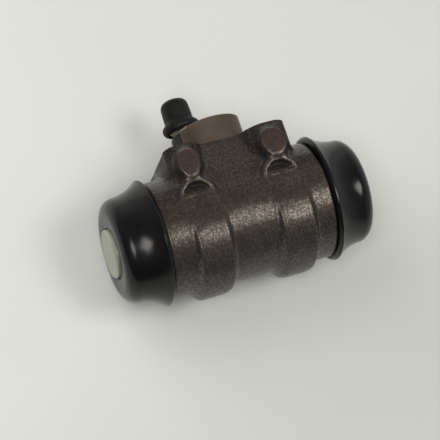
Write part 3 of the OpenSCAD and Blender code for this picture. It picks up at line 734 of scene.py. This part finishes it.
def finish_of(face, s):
    """Index of the finish of one face of the housing: 0 cast, 1 machined, 2 bright chamfer."""
    cast, machined, bright = range(3)
    middle, normal = face.center, face.normal
    from_bore = math.hypot(middle.y - BORE_CENTRE.y, middle.z)
    from_pilot = math.hypot(middle.x, middle.z)
    margin = 0.2 * MM
    if middle.y > HAIR:
        on_rim = from_pilot > s.pilot - 1.6 * MM
        if on_rim and 0.3 < normal.y < 0.95 and middle.x < -0.66 * s.pilot:
            return bright
        # A patch of cast skin is left on the pilot's far left
        if middle.x < -0.85 * s.pilot and normal.y < 0.3 and from_pilot > s.pilot - margin:
            return cast
        return machined
    if abs(middle.y) < HAIR and normal.y > 0.9:
        return machined
    if from_bore < s.bore + s.bore_chamfer + margin or abs(middle.x) > SHOULDER - HAIR:
        return machined
    for x in (-s.lug_x, s.lug_x):
        for z in (-s.lug_z, s.lug_z):
            in_hole = math.hypot(middle.x - x, middle.z - z) < s.tap + s.thread_depth + margin / 2
            if in_hole and -s.tap_depth - s.tap < middle.y < 0:
                return machined
    if from_pilot < s.pilot - MM and middle.y > BORE_CENTRE.y + s.bore:
        return machined
    return cast


class WHEELCYL_OT_cast_housing(bpy.types.Operator):
    """Model the sand-cast housing, then machine its faces, pilot and holes"""

    bl_idname = "wheel_cylinder.cast_housing"
    bl_label = "Cast housing"

    def execute(self, context):
        s = context.scene.wheel_cylinder_casting
        casting = raw_casting(s)
        machine_casting(casting, s)
        casting.data.materials.clear()
        for made in (sand_cast_iron(s), machined_iron(s), bright_cut_iron(s)):
            casting.data.materials.append(made)
        for face in casting.data.polygons:
            face.material_index = finish_of(face, s)
        smooth(casting)
        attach(casting, "housing")
        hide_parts("housing")
        return {"FINISHED"}


def boot_outline(s):
    """Closed section of the right boot, as distance from the middle of the bore against radius."""
    end = SHOULDER + s.reach
    spigot_end = SHOULDER + s.spigot_len
    lip = (SHOULDER + s.lip_round, s.lip - s.lip_round)
    shoulder = (end - s.rounding, s.outer - s.rounding)
    tilt = math.degrees(s.waist_lean)
    span = s.rounding + s.waist
    waist = (shoulder[0] + span * math.sin(s.waist_lean), shoulder[1] + span * math.cos(s.waist_lean))
    away = math.dist(lip, waist)
    meet = math.acos((away ** 2 + s.waist ** 2 - s.lip_round ** 2) / (2 * away * s.waist))
    flare = math.degrees(math.atan2(lip[1] - waist[1], lip[0] - waist[0]) - meet) + 360
    rim = (end - s.sleeve_wall / 2, s.sleeve + s.sleeve_wall / 2)
    sleeve_top = s.sleeve + s.sleeve_wall
    bead_end = s.bead_start + s.bead_width
    outline = arc(lip, s.lip_round, 180, 100, 8)
    outline += arc(waist, s.waist, flare, 270 - tilt, 20)
    outline += arc(shoulder, s.rounding, 90 - tilt, 0, 18)[1:]
    outline += arc(rim, s.sleeve_wall / 2, 0, -90, 6)
    outline += [(bead_end, s.sleeve), (bead_end, s.bead), (s.bead_start, s.bead), (s.bead_start, sleeve_top)]
    outline += [(end - s.wall, sleeve_top)]
    outline += arc(shoulder, s.rounding - s.wall, 0, 90, 10)
    outline += [(spigot_end, s.outer - s.wall), (spigot_end, s.spigot), (SHOULDER, s.spigot)]
    return outline


class WHEELCYL_OT_dust_boots(bpy.types.Operator):
    """Model one moulded rubber dust boot and mirror it to the other end"""

    bl_idname = "wheel_cylinder.dust_boots"
    bl_label = "Dust boots"

    def execute(self, context):
        s = context.scene.wheel_cylinder_boots
        rubber = moulded_rubber("moulded_boot_rubber", s.rubber, s.bloom, roughness=0.19)
        right = spun("right_dust_boot", boot_outline(s), BORE_CENTRE, ALONG_X, s.steps, closed=True)
        right.data.materials.append(rubber)
        smooth(right, 40)
        left = bpy.data.objects.new("left_dust_boot", right.data.copy())
        context.scene.collection.objects.link(left)
        hold(left)
        bpy.ops.object.mode_set(mode="EDIT")
        bpy.ops.mesh.select_all(action="SELECT")
        bpy.ops.transform.resize(value=(-1, 1, 1), center_override=(0, 0, 0))
        bpy.ops.mesh.normals_make_consistent(inside=False)
        bpy.ops.object.mode_set(mode="OBJECT")
        for boot, side in ((left, -1), (right, 1)):
            name = "left" if side < 0 else "right"
            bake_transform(boot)
            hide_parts(name + "_boot")
        return {"FINISHED"}


# Outside and inside of the bleed cap, as (height above its foot, radius) in millimetres
CAP_WAIST = ((7.0, 4.36), (5.4, 4.42), (4.6, 4.4), (4.1, 4.4), (3.7, 4.5), (3.35, 4.72))
CAP_INSIDE = ((0, 4.5), (0.1, 4.36), (2.45, 4.36), (2.5, 2.95), (8.85, 2.95), (8.9, 0))


class WHEELCYL_OT_bleed_cap(bpy.types.Operator):
    """Model the moulded rubber cap over the bleed screw"""

    bl_idname = "wheel_cylinder.bleed_cap"
    bl_label = "Bleed cap"

    def execute(self, context):
        s = context.scene.wheel_cylinder_fittings
        foot, top = CAP_LOW.y, CAP_HIGH.y
        skirt = (CAP_HIGH.x - CAP_LOW.x) / 2 + s.skirt_swell
        crown = (top - s.tip_round, s.tip - s.tip_round)
        bead = (foot + s.skirt_bead, skirt - s.skirt_bead)
        dome, dome_radius = 0.03 * MM, 1.0 * MM
        outline = [(top, 0), (top - dome, dome_radius)]
        outline += arc(crown, s.tip_round, 6, 90, 7)
        outline += [(foot + up * MM, out * MM) for up, out in CAP_WAIST]
        outline += arc(bead, s.skirt_bead, 28, 152, 10)
        outline += [(foot + up * MM, out * MM) for up, out in CAP_INSIDE]
        cap = spun("bleed_cap_rubber", outline, BLEED_AXIS, ALONG_Y, 72)
        rubber = moulded_rubber("moulded_cap_rubber", s.cap_rubber, s.cap_dust, roughness=0.55)
        cap.data.materials.append(rubber)
        smooth(cap, 50)
        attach(cap, "bleed_cap")
        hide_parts("bleed_cap")
        return {"FINISHED"}


class WHEELCYL_OT_inner_pieces(bpy.types.Operator):
    """Give the pistons, seals, expanders, spring and bleed screw their finishes"""

    bl_idname = "wheel_cylinder.inner_pieces"
    bl_label = "Inner pieces"

    def execute(self, context):
        s = context.scene.wheel_cylinder_fittings
        aluminium = turned_metal(
            "anodised_aluminium", s.aluminium, BORE_CENTRE, pitch=0.45 * MM, metallic=0.35, roughness=0.42)
        zinc, plated, wire = (
            turned_metal(name, base, BORE_CENTRE, pitch=0.6 * MM, metallic=1.0, roughness=roughness)
            for name, base, roughness in (
                ("zinc_plated_steel", s.zinc, 0.35),
                ("clear_zinc_steel", s.clear_zinc, 0.38),
                ("drawn_spring_steel", s.wire, 0.3)))
        seal = moulded_rubber("moulded_seal_rubber", s.seal, s.seal, roughness=0.4)
        finishes = {
            "left_piston": aluminium, "right_piston": aluminium, "left_cup": seal, "right_cup": seal,
            "left_expander": zinc, "right_expander": zinc, "return_spring": wire, "bleed_screw": plated,
        }
        for node, finish in finishes.items():
            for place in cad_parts[node].material_slots:
                place.material = finish
        return {"FINISHED"}


def lamp(name, toward, power, size, tint, away=0.9):
    """A soft square light that looks at the bore's centre from a distance in metres."""
    data = bpy.data.lights.new(name, "AREA")
    data.energy = power
    data.size = size
    data.color = tint
    obj = bpy.data.objects.new(name, data)
    bpy.context.scene.collection.objects.link(obj)
    way = Vector(toward).normalized()
    obj.location = BORE_CENTRE + way * away
    obj.rotation_euler = way.to_track_quat("Z", "Y").to_euler()
    return obj


class WHEELCYL_OT_stage(bpy.types.Operator):
    """Set the pale table, the soft lights, the room light and the camera"""

    bl_idname = "wheel_cylinder.stage"
    bl_label = "Stage"

    def execute(self, context):
        s = context.scene.wheel_cylinder_stage
        hold(None)
        bpy.ops.mesh.primitive_plane_add(size=4.0, location=(0, 0, CAD_BOX[0][2]))
        floor = context.object
        floor.name = "table_top"
        bpy.ops.object.transform_apply(location=True)
        floor.data.materials.append(table_top(s))

        world = bpy.data.worlds.new("room")
        context.scene.world = world
        world.use_nodes = True
        tree = world.node_tree
        tree.nodes.clear()
        # A room that is pale behind and dimmer in front and overhead, alike for the camera and the pieces
        way = add(tree, "ShaderNodeTexCoord").outputs["Generated"]
        toward = add(tree, "ShaderNodeSeparateXYZ", None, {"Vector": way}).outputs
        across = reckon(tree, "ADD", toward["X"], toward["Y"])
        walls = ramp(tree, across, -1.1, 1.1, s.front, s.back, interpolation_type="SMOOTHSTEP")
        level = ramp(tree, toward["Z"], 0.0, 0.9, walls, s.ceiling, interpolation_type="SMOOTHSTEP")
        room = add(tree, "ShaderNodeBackground", None, {"Color": rgba(s.floor), "Strength": level})
        add(tree, "ShaderNodeOutputWorld", None, {"Surface": room.outputs[0]})

        warm, pale = (1.0, 0.965, 0.92), (1.0, 0.99, 0.97)
        lamp("right_overhead_light", (0.452, -0.244, 1.0), s.key, size=0.36, tint=warm)
        lamp("left_overhead_light", (-0.36, -0.27, 1.0), s.key, size=0.36, tint=warm)
        # The light behind only lifts the table, and no piece mirrors it
        rear = lamp("rear_light", (-0.7, 0.8, 0.8), s.rear, size=0.5, tint=pale, away=0.5)
        rear.visible_glossy = False

        # Directions of the picture's right and top, and how far its middle lies from the bore's centre
        right = Vector((0.9326, -0.3134, 0.1739))
        above = Vector((0.249, 0.9154, 0.3143))
        to_left, up = 4.77 * MM, 0.225 * MM
        back = right.cross(above).normalized()
        above = back.cross(right).normalized()
        aim = BORE_CENTRE - right * to_left + above * up
        data = bpy.data.cameras.new("photo_camera")
        data.lens = s.lens
        data.sensor_width = 36.0
        data.clip_start = 0.01
        camera = bpy.data.objects.new("photo_camera", data)
        context.scene.collection.objects.link(camera)
        turned = Matrix((right.normalized(), above, back)).transposed().to_4x4()
        camera.matrix_world = Matrix.Translation(aim + back * s.away) @ turned
        context.scene.camera = camera
        context.scene.view_settings.view_transform = "Standard"
        return {"FINISHED"}


class WHEELCYL_PT_sidebar(bpy.types.Panel):
    """Buttons for the pieces of the wheel cylinder"""

    bl_idname = "WHEELCYL_PT_sidebar"
    bl_label = "Wheel Cylinder"
    bl_space_type = "VIEW_3D"
    bl_region_type = "UI"
    bl_category = "Wheel Cylinder"

    def draw(self, context):
        for operator in OPERATORS:
            self.layout.operator(operator.bl_idname)
        for group in SETTINGS:
            box = self.layout.box()
            for name in getattr(context.scene, group).bl_rna.properties.keys():
                if name not in ("rna_type", "name"):
                    box.prop(getattr(context.scene, group), name)


OPERATORS = (
    WHEELCYL_OT_cast_housing,
    WHEELCYL_OT_dust_boots,
    WHEELCYL_OT_bleed_cap,
    WHEELCYL_OT_inner_pieces,
    WHEELCYL_OT_stage,
)
SETTINGS = {
    "wheel_cylinder_casting": CastingSettings,
    "wheel_cylinder_boots": BootSettings,
    "wheel_cylinder_fittings": FittingSettings,
    "wheel_cylinder_stage": StageSettings,
}


def register():
    for group in SETTINGS.values():
        bpy.utils.register_class(group)
    for name, group in SETTINGS.items():
        setattr(bpy.types.Scene, name, PointerProperty(type=group))
    for operator in OPERATORS:
        bpy.utils.register_class(operator)
    bpy.utils.register_class(WHEELCYL_PT_sidebar)


def unregister():
    bpy.utils.unregister_class(WHEELCYL_PT_sidebar)
    for operator in reversed(OPERATORS):
        bpy.utils.unregister_class(operator)
    for name in SETTINGS:
        delattr(bpy.types.Scene, name)
    for group in reversed(list(SETTINGS.values())):
        bpy.utils.unregister_class(group)


def main():
    register()
    bpy.ops.wheel_cylinder.cast_housing()
    bpy.ops.wheel_cylinder.dust_boots()
    bpy.ops.wheel_cylinder.bleed_cap()
    bpy.ops.wheel_cylinder.inner_pieces()
    bpy.ops.wheel_cylinder.stage()


if __name__ == "__main__":
    main()
